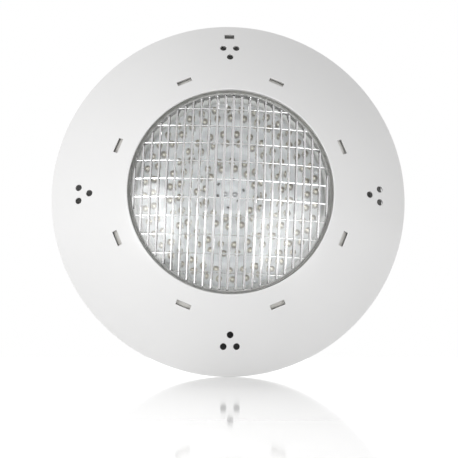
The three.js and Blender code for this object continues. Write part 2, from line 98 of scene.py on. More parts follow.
# The lamp sits 2.2 behind its own drawing and is turned clockwise as seen from the front.
LAMP_BACK = 2.2
LAMP_ROLL = math.radians(2)
LENS_NECK = 79.4
LENS_INNER = 77.4
LENS_EDGE_OUT = 48.2 - LAMP_BACK
LENS_CROWN = 16.0
LENS_WALL = 2.8
LENS_FLANGE_OUT = 38.7 - LAMP_BACK
RIB_ACROSS = 6.3
RIB_DOWN = 14.3
RIB_HEIGHT = 1.0
LEVEL_RIB_HEIGHT = 0.4
BOARD_FRONT = 31.9 - LAMP_BACK
BOARD_SCREW_CIRCLE = 71.0
BOARD_SCREW_ANGLE = 17.0
LED_RINGS = ((20.3, 12), (26.4, 16), (40.7, 24), (47.8, 28), (61.0, 36), (68.0, 40))
LED_RADIUS = 2.5
LED_HEIGHT = 8.6
LED_LEGS_OUT = BOARD_FRONT + 0.4
LEAD_HOLES_X = (-4, 4)

# The clamp ring's screws, and the bosses of the housing that they hold in.
CLAMP_SCREWS = 8
BOSS_CIRCLE = 95.2
BOSS_RADIUS = 4.0
BOSS_TOP = 32.9
SCREW_HOLE = 1.75
COUNTERBORE = 3.0
COUNTERBORE_FLOOR = 34.9

# The housing's flange and the seat that the lamp's gasket lies in.
FLANGE_BACK = 6.5
FLANGE_FRONT = 9.5
SEAT_RADIUS = 91.1

# The guide of the release latch, in the housing's flange.
GUIDE_FRONT = 13.1
COVER_SCREWS_APART = 16.4
COVER_SCREWS_Z = 122

# The pin that the front unit hangs on, and the bore of the hook that hangs over it.
PIN_OUT = 6.0
PIN_Z = -135.0
PIN_BORE = 2.1

# The cable gland in the housing's back.
HOUSING_BACK = -48.0
GLAND_HOLE = 8.3
GLAND_BORE = 5.0
THREAD_CORE = 7.4
THREAD_CREST = 8.0
THREAD_PITCH = 1.5

# The floor glows more with distance, in metres from the light's centre, and so hides its mirror image. The
# weaker glow near the light is a painted soft shadow round it.
FLOOR_GLOW = (0.05, 0.30)
FLOOR_PAINTED_SHADOW_REACH = (0.28, 0.70)

# The surroundings as a light. The slope is how much they brighten along +X, +Y and +Z.
WORLD_LIGHT = 0.715
BACK_LIGHT = 0.5
WORLD_SLOPE = (-0.32, 0.0, -0.13)

# Each softbox's name, its place, width and height in metres, and its power. The lens mirrors both.
SOFTBOXES = (
    ("left_softbox", (-0.308, -0.381, -0.082), 0.24, 0.34, 0.48),
    ("right_softbox", (0.296, -0.454, -0.185), 0.40, 0.46, 0.58),
)
LENS_FRONT_Y = -0.05

# The camera looks up a little from below and to the left of the light. In metres, but for the lens.
CAMERA_LENS_MM = 85.3
CAMERA_PLACE = (-0.0302, -0.888, -0.1281)
CAMERA_DIRECTION = (0.034, 0.9927, 0.116)


# ---------------------------------------------------------------- outlines


def polar(radius, degrees):
    """The point at a radius and an angle from +X towards +Z."""
    angle = math.radians(degrees)
    return radius * math.cos(angle), radius * math.sin(angle)


def circle(radius, count, centre=(0, 0)):
    spots = [polar(radius, 360 * i / count) for i in range(count)]
    return [(centre[0] + x, centre[1] + y) for x, y in spots]


def rounded(points, steps=4):
    """A closed outline of (a, b, radius) corners, each drawn as a curve of about that radius."""
    corners = [Vector(p[:2]) for p in points]
    radii = [p[2] if len(p) > 2 else 0 for p in points]
    outline = []
    for i, (corner, radius) in enumerate(zip(corners, radii)):
        before = corners[i - 1] - corner
        after = corners[(i + 1) % len(corners)] - corner
        if radius <= 0:
            outline.append(tuple(corner))
            continue
        half_angle = before.angle(after) / 2
        reach = min(radius / math.tan(half_angle), before.length * 0.49, after.length * 0.49)
        start = corner + before.normalized() * reach
        end = corner + after.normalized() * reach
        for k in range(steps + 1):
            t = k / steps
            outline.append(tuple(start * (1 - t) ** 2 + corner * (2 * t * (1 - t)) + end * t**2))
    return outline


def rounded_box(width, height, corner, grow=0.0, centre=(0, 0), turn=0.0, steps=4):
    """A rectangle with round corners, grown outwards by grow, turned by degrees about the lamp's axis."""
    w, h, radius = width / 2 + grow, height / 2 + grow, corner + grow
    outline = []
    for k, (sx, sy) in enumerate(((1, 1), (-1, 1), (-1, -1), (1, -1))):
        for i in range(steps + 1):
            x, y = polar(radius, 90 * k + 90 * i / steps)
            outline.append((sx * (w - radius) + x + centre[0], sy * (h - radius) + y + centre[1]))
    angle = math.radians(turn)
    cos, sin = math.cos(angle), math.sin(angle)
    return [(x * cos - y * sin, x * sin + y * cos) for x, y in outline]


# ---------------------------------------------------------------- mesh building


def point(x, out, z):
    return Vector((x, -out, z)) * MM


def stitch(mesh, rings, closed_loop):
    """Faces between neighbouring rings of vertices; a ring of one vertex is a point on the axis."""
    pairs = list(zip(rings, rings[1:]))
    if closed_loop:
        pairs.append((rings[-1], rings[0]))
    for a, b in pairs:
        count = max(len(a), len(b))
        for i in range(count if count > 1 else 0):
            j = (i + 1) % count
            corners = [a[i % len(a)], b[i % len(b)], b[j % len(b)], a[j % len(a)]]
            mesh.faces.new(list(dict.fromkeys(corners)))


def lathe(profile, segments=MEDIUM):
    """A ring or bowl about the lamp's axis, from a closed profile of (radius, out) points."""
    mesh = bmesh.new()
    rings = []
    for radius, out in profile:
        spots = circle(radius, segments) if radius > ON_AXIS else [(0, 0)]
        rings.append([mesh.verts.new(point(x, out, z)) for x, z in spots])
    stitch(mesh, rings, closed_loop=profile[0][0] > ON_AXIS or profile[-1][0] > ON_AXIS)
    bmesh.ops.recalc_face_normals(mesh, faces=mesh.faces)
    return mesh


def loft(sections):
    """A closed solid through sections, which are lists of (x, out, z) points, all with as many points."""
    mesh = bmesh.new()
    rings = [[mesh.verts.new(point(*p)) for p in section] for section in sections]
    stitch(mesh, rings, closed_loop=False)
    mesh.faces.new(rings[0])
    mesh.faces.new(rings[-1])
    bmesh.ops.recalc_face_normals(mesh, faces=mesh.faces)
    return mesh


def plate(outline, low, high):
    """A plate with an outline of (x, z) points, from one distance out to another."""
    return loft([[(x, out, z) for x, z in outline] for out in (low, high)])


def rib(outline, left, right):
    """A rib with an outline of (out, z) points, from one x to another."""
    return loft([[(x, out, z) for out, z in outline] for x in (left, right)])


def block(x_range, out_range, z_range):
    (left, right), (bottom, top) = x_range, z_range
    return plate([(left, bottom), (right, bottom), (right, top), (left, top)], *out_range)


def cross_rod(radius, left, right, out, z, segments=48):
    """A rod along X."""
    return rib(circle(radius, segments, (out, z)), left, right)


def arc(radius, start, end, centre, steps=12):
    """Points on a circle round a centre, from one angle to another."""
    spots = [polar(radius, start + (end - start) * i / steps) for i in range(steps + 1)]
    return [(centre[0] + a, centre[1] + b) for a, b in spots]


def rod(radius, low, high, x=0.0, z=0.0, segments=32):
    return plate(circle(radius, segments, (x, z)), low, high)


def turned(mesh, degrees):
    """The mesh turned about the lamp's axis, from +X towards +Z."""
    copy = mesh.copy()
    copy.transform(Matrix.Rotation(math.radians(-degrees), 4, "Y"))
    return copy


def around(mesh, count, start=0.0):
    """Copies of the mesh spread evenly about the lamp's axis."""
    return [turned(mesh, start + 360 / count * i) for i in range(count)]


def moved(mesh, x, out, z):
    copy = mesh.copy()
    copy.transform(Matrix.Translation(point(x, out, z)))
    return copy


def together(meshes):
    """Separate shells as one mesh."""
    whole = bmesh.new()
    for mesh in meshes:
        data = bpy.data.meshes.new("shell")
        mesh.to_mesh(data)
        whole.from_mesh(data)
        bpy.data.meshes.remove(data)
    return whole


def scratch(mesh, name):
    data = bpy.data.meshes.new(name)
    mesh.to_mesh(data)
    holder = bpy.data.objects.new(name, data)
    bpy.context.scene.collection.objects.link(holder)
    return holder


def combined(mesh, operation, tools):
    """The mesh with tools joined to it, cut from it or crossed with it, one after the other.

    operation is UNION, DIFFERENCE or INTERSECT.
    """
    base = scratch(mesh, "base")
    holders = [scratch(tool, "tool") for tool in tools]
    for holder in holders:
        modifier = base.modifiers.new("boolean", "BOOLEAN")
        modifier.operation = operation
        modifier.solver = "MANIFOLD"
        modifier.object = holder
    graph = bpy.context.evaluated_depsgraph_get()
    result = bmesh.new()
    result.from_mesh(base.evaluated_get(graph).to_mesh())
    for holder in (base, *holders):
        data = holder.data
        bpy.data.objects.remove(holder)
        bpy.data.meshes.remove(data)
    return result


def add_piece(name, mesh, materials, body, replaces=(), sharp=35.0):
    """Adds a finished mesh as a piece that rides on a body. Edges sharper than the angle stay sharp."""
    bmesh.ops.dissolve_degenerate(mesh, dist=1e-7, edges=mesh.edges)
    limit = math.radians(sharp)
    for edge in mesh.edges:
        edge.smooth = edge.calc_face_angle(math.pi) < limit
    for face in mesh.faces:
        face.smooth = True
    data = bpy.data.meshes.new(name)
    mesh.to_mesh(data)
    mesh.free()
    for material in materials if isinstance(materials, list) else [materials]:
        data.materials.append(material)
    piece = bpy.data.objects.new(name, data)
    bpy.context.scene.collection.objects.link(piece)
    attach(piece, body)
    if replaces:
        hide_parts(*replaces)
    return piece


# ---------------------------------------------------------------- materials


def new_material(name):
    """A material with its node tree, its shader and the coordinates of the object, which are metres."""
    material = bpy.data.materials.new(name)
    material.use_nodes = True
    tree = material.node_tree
    shader = tree.nodes["Principled BSDF"]
    coordinates = tree.nodes.new("ShaderNodeTexCoord")
    return material, tree, shader, coordinates.outputs["Object"]


def noise(tree, vector, scale, detail=3.0):
    node = tree.nodes.new("ShaderNodeTexNoise")
    node.inputs["Scale"].default_value = scale
    node.inputs["Detail"].default_value = detail
    tree.links.new(vector, node.inputs["Vector"])
    return node.outputs["Fac"]


def ramp(tree, value, low, high):
    """A colour or grey that goes from low to high as value goes from 0.3 to 0.7."""
    node = tree.nodes.new("ShaderNodeValToRGB")
    stops = node.color_ramp.elements
    stops[0].position, stops[1].position = 0.3, 0.7
    for stop, colour in zip(stops, (low, high)):
        stop.color = (*colour, 1) if isinstance(colour, tuple) else (colour, colour, colour, 1)
    tree.links.new(value, node.inputs["Fac"])
    return node.outputs["Color"]


def bump(tree, shader, height, strength, distance):
    node = tree.nodes.new("ShaderNodeBump")
    node.inputs["Strength"].default_value = strength
    node.inputs["Distance"].default_value = distance
    tree.links.new(height, node.inputs["Height"])
    tree.links.new(node.outputs["Normal"], shader.inputs["Normal"])


def moulded_plastic(name, low, high, rough, grain=900.0, depth=0.00002, coat=0.0):
    """Injection-moulded plastic, a little cloudy and uneven in its gloss, with a fine surface grain."""
    material, tree, shader, place = new_material(name)
    clouds = noise(tree, place, scale=14.0, detail=1.0)
    gloss = noise(tree, place, scale=25.0, detail=1.0)
    tree.links.new(ramp(tree, clouds, low, high), shader.inputs["Base Color"])
    tree.links.new(ramp(tree, gloss, *rough), shader.inputs["Roughness"])
    bump(tree, shader, noise(tree, place, grain, detail=2.0), strength=0.25, distance=depth)
    shader.inputs["Coat Weight"].default_value = coat
    shader.inputs["Coat Roughness"].default_value = 0.12
    return material


def brushed_metal(name, low, high, rough, stretch=(1.0, 1.0, 40.0)):
    """Metal with fine drawn lines along one direction."""
    material, tree, shader, place = new_material(name)
    mapping = tree.nodes.new("ShaderNodeMapping")
    mapping.inputs["Scale"].default_value = stretch
    tree.links.new(place, mapping.inputs["Vector"])
    lines = noise(tree, mapping.outputs["Vector"], scale=300.0, detail=4.0)
    tree.links.new(ramp(tree, lines, low, high), shader.inputs["Base Color"])
    tree.links.new(ramp(tree, lines, *rough), shader.inputs["Roughness"])
    shader.inputs["Metallic"].default_value = 1.0
    bump(tree, shader, lines, strength=0.2, distance=0.00001)
    return material


def clear_plastic(name, tint, rough, ior):
    """Clear moulded plastic that lets the lights through to what lies behind it."""
    material, tree, shader, place = new_material(name)
    shader.inputs["Base Color"].default_value = (*tint, 1)
    shader.inputs["Transmission Weight"].default_value = 1.0
    shader.inputs["IOR"].default_value = ior
    shader.inputs["Roughness"].default_value = rough
    ripple = noise(tree, place, scale=220.0, detail=2.0)
    bump(tree, shader, ripple, strength=0.05, distance=0.00002)
    passing = tree.nodes.new("ShaderNodeBsdfTransparent")
    passing.inputs["Color"].default_value = (*tint, 1)
    path = tree.nodes.new("ShaderNodeLightPath")
    mix = tree.nodes.new("ShaderNodeMixShader")
    output = tree.nodes["Material Output"]
    tree.links.new(path.outputs["Is Shadow Ray"], mix.inputs[0])
    tree.links.new(shader.outputs["BSDF"], mix.inputs[1])
    tree.links.new(passing.outputs["BSDF"], mix.inputs[2])
    tree.links.new(mix.outputs["Shader"], output.inputs["Surface"])
    return material


def led_plastic(name, middle, edge):
    """The clear body of an LED, whose colour is painted darker towards its outline as painted shade for the
    dark rim that its refraction shows.
    """
    material = clear_plastic(name, middle, rough=0.1, ior=1.5)
    tree = material.node_tree
    shader = tree.nodes["Principled BSDF"]
    # Painted shade: the colour goes darker where the surface turns away, towards the LED's outline.
    painted_rim_shade = tree.nodes.new("ShaderNodeLayerWeight")
    painted_rim_shade.inputs["Blend"].default_value = 0.4
    tree.links.new(ramp(tree, painted_rim_shade.outputs["Facing"], middle, edge), shader.inputs["Base Color"])
    return material


def solder_mask(name):
    """A white circuit board whose copper rings show faintly through the lacquer."""
    material, tree, shader, place = new_material(name)
    wave = tree.nodes.new("ShaderNodeTexWave")
    wave.wave_type = "RINGS"
    wave.rings_direction = "Y"
    wave.inputs["Scale"].default_value = 30.0
    wave.inputs["Distortion"].default_value = 1.5
    tree.links.new(place, wave.inputs["Vector"])
    traces = ramp(tree, wave.outputs["Fac"], (0.53, 0.543, 0.558), (0.615, 0.627, 0.638))
    tree.links.new(traces, shader.inputs["Base Color"])
    gloss = ramp(tree, noise(tree, place, scale=90.0), 0.3, 0.45)
    tree.links.new(gloss, shader.inputs["Roughness"])
    bump(tree, shader, wave.outputs["Fac"], strength=0.3, distance=0.00004)
    return material


FACE_PLASTIC = moulded_plastic(
    "face_plastic", (0.870, 0.868, 0.865), (0.884, 0.882, 0.879), (0.22, 0.26), coat=0.3
)
HOUSING_PLASTIC = moulded_plastic(
    "housing_plastic", (0.26, 0.26, 0.255), (0.32, 0.32, 0.315), (0.45, 0.6), grain=500.0, depth=0.00005
)
BODY_PLASTIC = moulded_plastic(
    "body_plastic", (0.70, 0.69, 0.655), (0.77, 0.76, 0.73), (0.45, 0.6), grain=500.0, depth=0.00005
)
GLAND_PLASTIC = moulded_plastic(
    "gland_plastic", (0.10, 0.11, 0.115), (0.15, 0.16, 0.165), (0.45, 0.6), grain=600.0, depth=0.00004
)
RUBBER = moulded_plastic(
    "gland_rubber", (0.02, 0.02, 0.021), (0.04, 0.04, 0.042), (0.7, 0.85), grain=400.0, depth=0.00005
)
SILICONE = moulded_plastic(
    "silicone", (0.80, 0.79, 0.77), (0.87, 0.86, 0.84), (0.5, 0.65), grain=300.0, depth=0.00004
)
# Painted shade: this dark grey stands in for the shadow in the gaps round the lens's rim.
SHADE_PAINTED_SEAL = moulded_plastic(
    "shade_painted_seal", (0.32, 0.31, 0.295), (0.42, 0.41, 0.39), (0.5, 0.65), grain=300.0, depth=0.00004
)
LAMP_SHELL = moulded_plastic(
    "lamp_shell", (0.80, 0.80, 0.785), (0.87, 0.87, 0.855), (0.35, 0.5), grain=500.0, depth=0.00004
)
BLACK_PLASTIC = moulded_plastic("black_plastic", (0.012, 0.012, 0.013), (0.025, 0.025, 0.027), (0.4, 0.55))
LEAD_BLACK = moulded_plastic("lead_black", (0.015, 0.015, 0.016), (0.03, 0.03, 0.03), (0.5, 0.6))
LEAD_RED = moulded_plastic("lead_red", (0.35, 0.03, 0.02), (0.45, 0.05, 0.03), (0.45, 0.6))
DRIVER_GREEN = moulded_plastic(
    "driver_green", (0.02, 0.12, 0.05), (0.03, 0.18, 0.08), (0.35, 0.5), grain=700.0, depth=0.00003
)
STEEL = brushed_metal("steel", (0.50, 0.50, 0.51), (0.66, 0.66, 0.67), (0.22, 0.38))
ALUMINIUM = brushed_metal("aluminium", (0.62, 0.63, 0.64), (0.78, 0.79, 0.80), (0.3, 0.5))
BRASS = brushed_metal("brass", (0.60, 0.42, 0.15), (0.75, 0.55, 0.24), (0.25, 0.4))
COPPER = brushed_metal(
    "copper", (0.45, 0.18, 0.08), (0.62, 0.28, 0.14), (0.3, 0.5), stretch=(40.0, 1.0, 1.0)
)
LENS_CLEAR = clear_plastic("lens_clear", (0.985, 0.99, 0.99), rough=0.03, ior=1.585)
# The second colour is painted shade for the dark outline of each LED.
LED_CLEAR = led_plastic("led_clear", (0.95, 0.94, 0.92), (0.44, 0.42, 0.37))
BOARD_WHITE = solder_mask("board_white")
PHOSPHOR = moulded_plastic("phosphor", (0.70, 0.68, 0.61), (0.80, 0.78, 0.71), (0.5, 0.7))
LEAD_FRAME = brushed_metal("lead_frame", (0.29, 0.27, 0.23), (0.43, 0.40, 0.35), (0.3, 0.5))
SOLDER = brushed_metal("solder", (0.36, 0.36, 0.37), (0.55, 0.55, 0.56), (0.25, 0.45))


# ---------------------------------------------------------------- face ring


def dome_out(r, radius=DOME_RADIUS):
    return DOME_CENTRE_OUT + math.sqrt(radius**2 - (r - DOME_AXIS_OFFSET) ** 2)


def dome_arc(radius, start, end, steps):
    places = [start + (end - start) * i / steps for i in range(steps + 1)]
    return [(r, dome_out(r, radius)) for r in places]


def opening_cutter(outline, low, edge=0.4, steps=4):
    """A cutter for an opening in the dome, along Y, that leaves the opening's front edge round.

    outline(grow) gives the opening's (x, z) points, grown outwards by that much.
    """
    sections = [[(x, low, z) for x, z in outline(0)]]
    for k in range(steps + 1):
        angle = math.radians(85 * k / steps)
        grown = outline(edge * (1 - math.cos(angle)))
        sink = edge * (1 - math.sin(angle))
        sections.append([(x, dome_out(math.hypot(x, z)) - sink, z) for x, z in grown])
    top = outline(edge * (1 - math.cos(angle)))
    sections.append([(x, dome_out(OPENING_RADIUS) + 5, z) for x, z in top])
    return loft(sections)


def vent_cutters():
    """Four groups of three round holes, each group with one hole towards the lamp."""
    rise = VENT_SPACING * math.sqrt(3) / 2
    inner, outer = VENT_CIRCLE - 2 * rise / 3, VENT_CIRCLE + rise / 3
    places = ((inner, 0), (outer, VENT_SPACING / 2), (outer, -VENT_SPACING / 2))
    for quarter in range(4):
        for x, z in places:
            centre = polar(math.hypot(x, z), 90 * quarter + math.degrees(math.atan2(z, x)))
            yield opening_cutter(lambda grow: circle(VENT_RADIUS + grow, 40, centre), low=5)


def slot_cutters():
    """The slots over the clamp ring's rim, halfway between its screws."""
    for i in range(SLOTS):
        turn = FIRST_SLOT_ANGLE + 360 / SLOTS * i
        yield opening_cutter(
            lambda grow: rounded_box(SLOT_WIDTH, SLOT_LENGTH, 0.4, grow, (SLOT_CIRCLE, 0), turn),
            low=34,
        )


def release_cutter():
    """The slot above the release latch."""
    low, high = map(Vector, RELEASE_SLOT)
    width, height = high - low
    centre = (low + high) / 2
    return opening_cutter(lambda grow: rounded_box(width, height, 0.6, grow, centre), low=5)


def snap_hook():
    """One hook, drawn at angle 0: a leg down from the dome whose barb snaps under the clamp ring."""
    root = dome_out(102, DOME_RADIUS - 1.5)
    profile = [
        (99.8, root),
        (99.8, 33.2),
        (99.5, 32.7, 0.2),
        (99.5, 30.6, 0.4),
        (100.3, 29.5, 0.3),
        (101.8, 29.5, 0.3),
        (101.8, root),
    ]
    outline = rounded(profile)
    return loft([[(r, out, z) for r, out in outline] for z in (-5, 5)])


def face_ring():
    low, high = box_of("face_ring")
    radius, back = high.x, low.y
    rim_inner = radius - 3.2
    lip_out = dome_out(OPENING_RADIUS + 1.8)
    inside = DOME_RADIUS - RING_WALL
    inside_start = 83
    profile = rounded(
        [
            (rim_inner, back, 0.3),
            (radius, back, 0.4),
            (radius, back + 2.9, 0.9),
            *dome_arc(DOME_RADIUS, radius - 1.1, OPENING_RADIUS + 2.6, 60),
            (OPENING_RADIUS, lip_out + 0.9, 1.5),
            (OPENING_RADIUS, dome_out(inside_start, inside) - 0.2, 0.5),
            *dome_arc(inside, inside_start, rim_inner, 30),
        ],
        6,
    )
    shell = lathe(profile, FINE)
    shell = combined(shell, "DIFFERENCE", [*vent_cutters(), *slot_cutters(), release_cutter()])
    shell = combined(shell, "UNION", around(snap_hook(), SLOTS, FIRST_SLOT_ANGLE))
    piece = add_piece("face_ring_shell", shell, FACE_PLASTIC, "face", ["face_ring"], 30)
    keep_dome_smooth(piece.data)


def keep_dome_smooth(data):
    """Gives the dome's front the true dome's normals, so that its openings leave no marks in its gloss."""
    dome_start, dome_end, nearness = OPENING_RADIUS + 2.7, 143.5, 0.05
    normals = [(0.0, 0.0, 0.0)] * len(data.loops)
    for face in data.polygons:
        r = math.hypot(face.center.x, face.center.z) / MM
        off_dome = abs(-face.center.y / MM - dome_out(r)) > nearness
        if off_dome or not dome_start < r < dome_end:
            continue
        for index in face.loop_indices:
            x, _, z = data.vertices[data.loops[index].vertex_index].co / MM
            at = math.hypot(x, z)
            slope = (at - DOME_AXIS_OFFSET) / DOME_RADIUS
            rise = math.sqrt(1 - slope**2)
            normals[index] = (slope * x / at, -rise, slope * z / at)
    data.normals_split_custom_set(normals)


# ---------------------------------------------------------------- lens


def crown_out(r, edge_radius, edge_out, crown):
    radius = (edge_radius**2 + crown**2) / (2 * crown)
    return edge_out + crown - radius + math.sqrt(max(radius**2 - r**2, 0))


def inner_crown(r):
    edge_out = LENS_EDGE_OUT - 1.7
    crown = LENS_EDGE_OUT + LENS_CROWN - LENS_WALL - edge_out
    return crown_out(r, LENS_INNER, edge_out, crown)


def rib_bars(pitch, height, offset, upright):
    """Straight ribs across the lens's inner face, each following its dome.

    A rib's two sides lean at 45 degrees, so that it sends light back as a pair of mirrors would.
    """
    sink = 0.3
    bars = []
    count = math.ceil(LENS_INNER / pitch)
    for k in range(-count, count + 1):
        middle = (k + offset) * pitch
        if abs(middle) > LENS_INNER - height:
            continue
        reach = math.sqrt(LENS_INNER**2 - middle**2)
        steps = max(2, round(reach / 4))
        sections = []
        for i in range(-steps, steps + 1):
            along = reach * i / steps
            face = inner_crown(min(math.hypot(middle, along), LENS_INNER))
            corners = ((-height - sink, face + sink), (0, face - height), (height + sink, face + sink))
            if upright:
                sections.append([(middle + aside, out, along) for aside, out in corners])
            else:
                sections.append([(along, out, middle + aside) for aside, out in corners])
        bars.append(loft(sections))
    return together(bars)


def lens_cavity():
    """The hollow behind the lens, less the grid of ribs, as a tool to cut it with."""
    steps, behind = 32, 20
    crown = [(r, inner_crown(r)) for r in [LENS_INNER * (1 - i / steps) for i in range(steps + 1)]]
    hollow = lathe([(0, behind), (LENS_INNER, behind), *crown], FINE)
    uprights = rib_bars(RIB_ACROSS, RIB_HEIGHT, offset=0, upright=True)
    levels = rib_bars(RIB_DOWN, LEVEL_RIB_HEIGHT, offset=0.5, upright=False)
    hollow = combined(hollow, "DIFFERENCE", [uprights, levels])
    return turned(hollow, -math.degrees(LAMP_ROLL))


def lens():
    low, high = box_of("lens")
    steps = 24
    crown = [
        (r, crown_out(r, LENS_NECK, LENS_EDGE_OUT, LENS_CROWN))
        for r in [(LENS_NECK - 0.8) * i / steps for i in range(steps + 1)]
    ]
    profile = crown + rounded(
        [
            (LENS_NECK, LENS_EDGE_OUT - 0.2, 0.7),
            (LENS_NECK, LENS_FLANGE_OUT, 0.4),
            (high.x, LENS_FLANGE_OUT, 0.3),
            (high.x, low.y, 0.3),
            (LENS_INNER - 2, low.y, 0),
        ]
    )
    body = lathe([*profile, (0, low.y)], FINE)
    glass = combined(body, "DIFFERENCE", [lens_cavity()])
    add_piece("ribbed_lens", glass, LENS_CLEAR, "lamp", ["lens"], 40)


def lens_seal():
    """The seal under the lens's rim: a pale bead between two dark grey bands, which show round the lens.
    The bands are painted shade for the shadow gaps there.
    """
    low, high = box_of("lens_seal")
    inner_shade_band_end, outer_shade_band_start = 78.3, 79.5
    marks = [77.5, inner_shade_band_end, outer_shade_band_start, high.x]
    profile = [(r, high.y) for r in marks] + [(r, low.y) for r in reversed(marks)]
    ring = lathe(profile, FINE)
    # Faces outside the pale bead take the dark grey of painted shade.
    for face in ring.faces:
        middle = face.calc_center_median() / MM
        face.material_index = int(inner_shade_band_end < math.hypot(middle.x, middle.z) < outer_shade_band_start)
    add_piece("seal_ring", ring, [SHADE_PAINTED_SEAL, SILICONE], "lamp", ["lens_seal"])


# ---------------------------------------------------------------- circuit board and LEDs


def led_places():
    """The x, z and angle of every LED."""
    start = BOARD_SCREW_ANGLE + 180 / LED_RINGS[-1][1] - math.degrees(LAMP_ROLL)
    for radius, count in LED_RINGS:
        for i in range(count):
            angle = start + 360 * i / count
            x, z = polar(radius, angle)
            yield x, z, angle


def led_body():
    """A clear 5 mm LED: a rim at its foot, a straight side and a round top."""
    foot = BOARD_FRONT + 0.1
    top = foot + LED_HEIGHT
    shoulder = top - LED_RADIUS
    round_top = [
        (LED_RADIUS * math.cos(math.radians(a)), shoulder + LED_RADIUS * math.sin(math.radians(a)))
        for a in range(0, 90, 15)
    ]
    profile = [(0, foot), (2.8, foot), (2.8, foot + 1), (LED_RADIUS, foot + 1), *round_top, (0, top)]
    return lathe(profile, 16)


def led_frame():
    """What shows in a clear LED: the cup on one leg and the post beside it."""
    foot = LED_LEGS_OUT
    outside = [(0, foot + 3.4), (1.1, foot + 3.4), (1.5, foot + 4.6)]
    inside = [(1.2, foot + 4.6), (0.7, foot + 3.9), (0, foot + 3.9)]
    cup = lathe(outside + inside, 12)
    leg = block((-0.9, -0.4), (foot, foot + 3.7), (-0.25, 0.25))
    post = block((1.2, 1.5), (foot, foot + 4.4), (-0.25, 0.25))
    return together([cup, leg, post])


def led_dot():
    """The drop of phosphor in the cup."""
    low = LED_LEGS_OUT + 3.95
    top = LED_LEGS_OUT + 4.32
    side, shoulder = LED_LEGS_OUT + 4.15, LED_LEGS_OUT + 4.3
    return lathe([(0, low), (0.4, low), (0.4, side), (0.2, shoulder), (0, top)], 10)


def led_array():
    bodies, frames, dots = led_body(), led_frame(), led_dot()
    spread = {"led_bodies": [], "led_frames": [], "led_dots": []}
    for x, z, angle in led_places():
        for key, mesh in zip(spread, (bodies, frames, dots)):
            spread[key].append(moved(turned(mesh, angle), x, 0, z))
    add_piece("led_bodies", together(spread["led_bodies"]), LED_CLEAR, "lamp", ["led_array"])
    add_piece("led_frames", together(spread["led_frames"]), LEAD_FRAME, "lamp")
    add_piece("led_dots", together(spread["led_dots"]), PHOSPHOR, "lamp")


def circuit_board():
    low, high = box_of("led_board")
    radius = high.x
    board = lathe(rounded([(0, low.y), (radius, low.y, 0.2), (radius, high.y, 0.2), (0, high.y)]), MEDIUM)
    roll = math.degrees(LAMP_ROLL)
    behind, before = low.y - 1, high.y + 1
    holes = around(rod(1.5, behind, before, BOARD_SCREW_CIRCLE), 4, BOARD_SCREW_ANGLE - roll)
    holes += [turned(rod(1.6, behind, before, x), -roll) for x in LEAD_HOLES_X]
    board = combined(board, "DIFFERENCE", holes)
    add_piece("circuit_board", board, BOARD_WHITE, "lamp", ["led_board"])


def board_parts():
    """Solder over the two lead ends in the middle of the board, and the small resistors round them."""
    roll = math.degrees(LAMP_ROLL)
    heights = ((2.1, 0), (1.9, 0.7), (1.2, 1.6), (0, 2))
    blob = lathe([(0, BOARD_FRONT), *[(r, BOARD_FRONT + rise) for r, rise in heights]], 20)
    blobs = [turned(moved(blob, x, 0, 0), -roll) for x in LEAD_HOLES_X]
    add_piece("solder_joints", together(blobs), SOLDER, "lamp")
    bodies, ends = [], []
    spread = random.Random(5)
    low = BOARD_FRONT + 0.1
    tall = (low, low + 0.6)
    for i in range(6):
        angle = 60 * i + 15 + spread.uniform(-8, 8)
        place = spread.uniform(7.5, 12.5)
        wide = (place - 0.8, place + 0.8)
        bodies.append(turned(block(wide, tall, (-1.1, 1.1)), angle))
        for middle in (-1.35, 1.35):
            ends.append(turned(block(wide, tall, (middle - 0.25, middle + 0.25)), angle))
    add_piece("resistor_bodies", together(bodies), BLACK_PLASTIC, "lamp")
    add_piece("resistor_ends", together(ends), SOLDER, "lamp")


# ---------------------------------------------------------------- clamp ring


def clamp_ring():
    """The ring that presses the gasket down. The step round its rim shows as a dark line in the slots."""
    profile = [
        (SEAT_RADIUS, 33.2, 0.2),
        (99.2, 33.2, 0.3),
        (99.2, 35.4, 0.3),
        (97.2, 35.4, 0.2),
        (97.2, 38.2, 0.2),
        (93.4, 40.3, 0.7),
        (82.5, 42.0, 0.8),
        (82.5, 38.9, 0.4),
        (SEAT_RADIUS, 38.9, 0.3),
    ]
    ring = lathe(rounded(profile), FINE)
    holes = around(rod(SCREW_HOLE, 30, 40, BOSS_CIRCLE), CLAMP_SCREWS)
    sinks = around(rod(COUNTERBORE, COUNTERBORE_FLOOR, 45, BOSS_CIRCLE), CLAMP_SCREWS)
    ring = combined(ring, "DIFFERENCE", holes + sinks)
    add_piece("clamp_ring_band", ring, BODY_PLASTIC, "front_unit", ["clamp_ring"])


# ---------------------------------------------------------------- screws


def middle_of(node):
    low, high = box_of(node)
    return (low + high) / 2


def threaded_rod(core, crest, pitch, low, high, tip, segments=20):
    """A rod along Y whose surface is a screw thread, drawn to a point over the last tip at its low end."""
    mesh = bmesh.new()
    rows = math.ceil((high - low) / pitch * 6)
    rings = [[mesh.verts.new(point(0, low, 0))]]
    for k in range(1, rows + 1):
        out = low + (high - low) * k / rows
        taper = min(1.0, (out - low) / tip)
        ring = []
        for i in range(segments):
            phase = (out / pitch + i / segments) % 1.0
            radius = (core + (crest - core) * (1 - abs(2 * phase - 1)) ** 2) * taper
            x, z = polar(radius, 360 * i / segments)
            ring.append(mesh.verts.new(point(x, out, z)))
        rings.append(ring)
    stitch(mesh, rings, closed_loop=False)
    mesh.faces.new(rings[-1])
    bmesh.ops.recalc_face_normals(mesh, faces=mesh.faces)
    return mesh


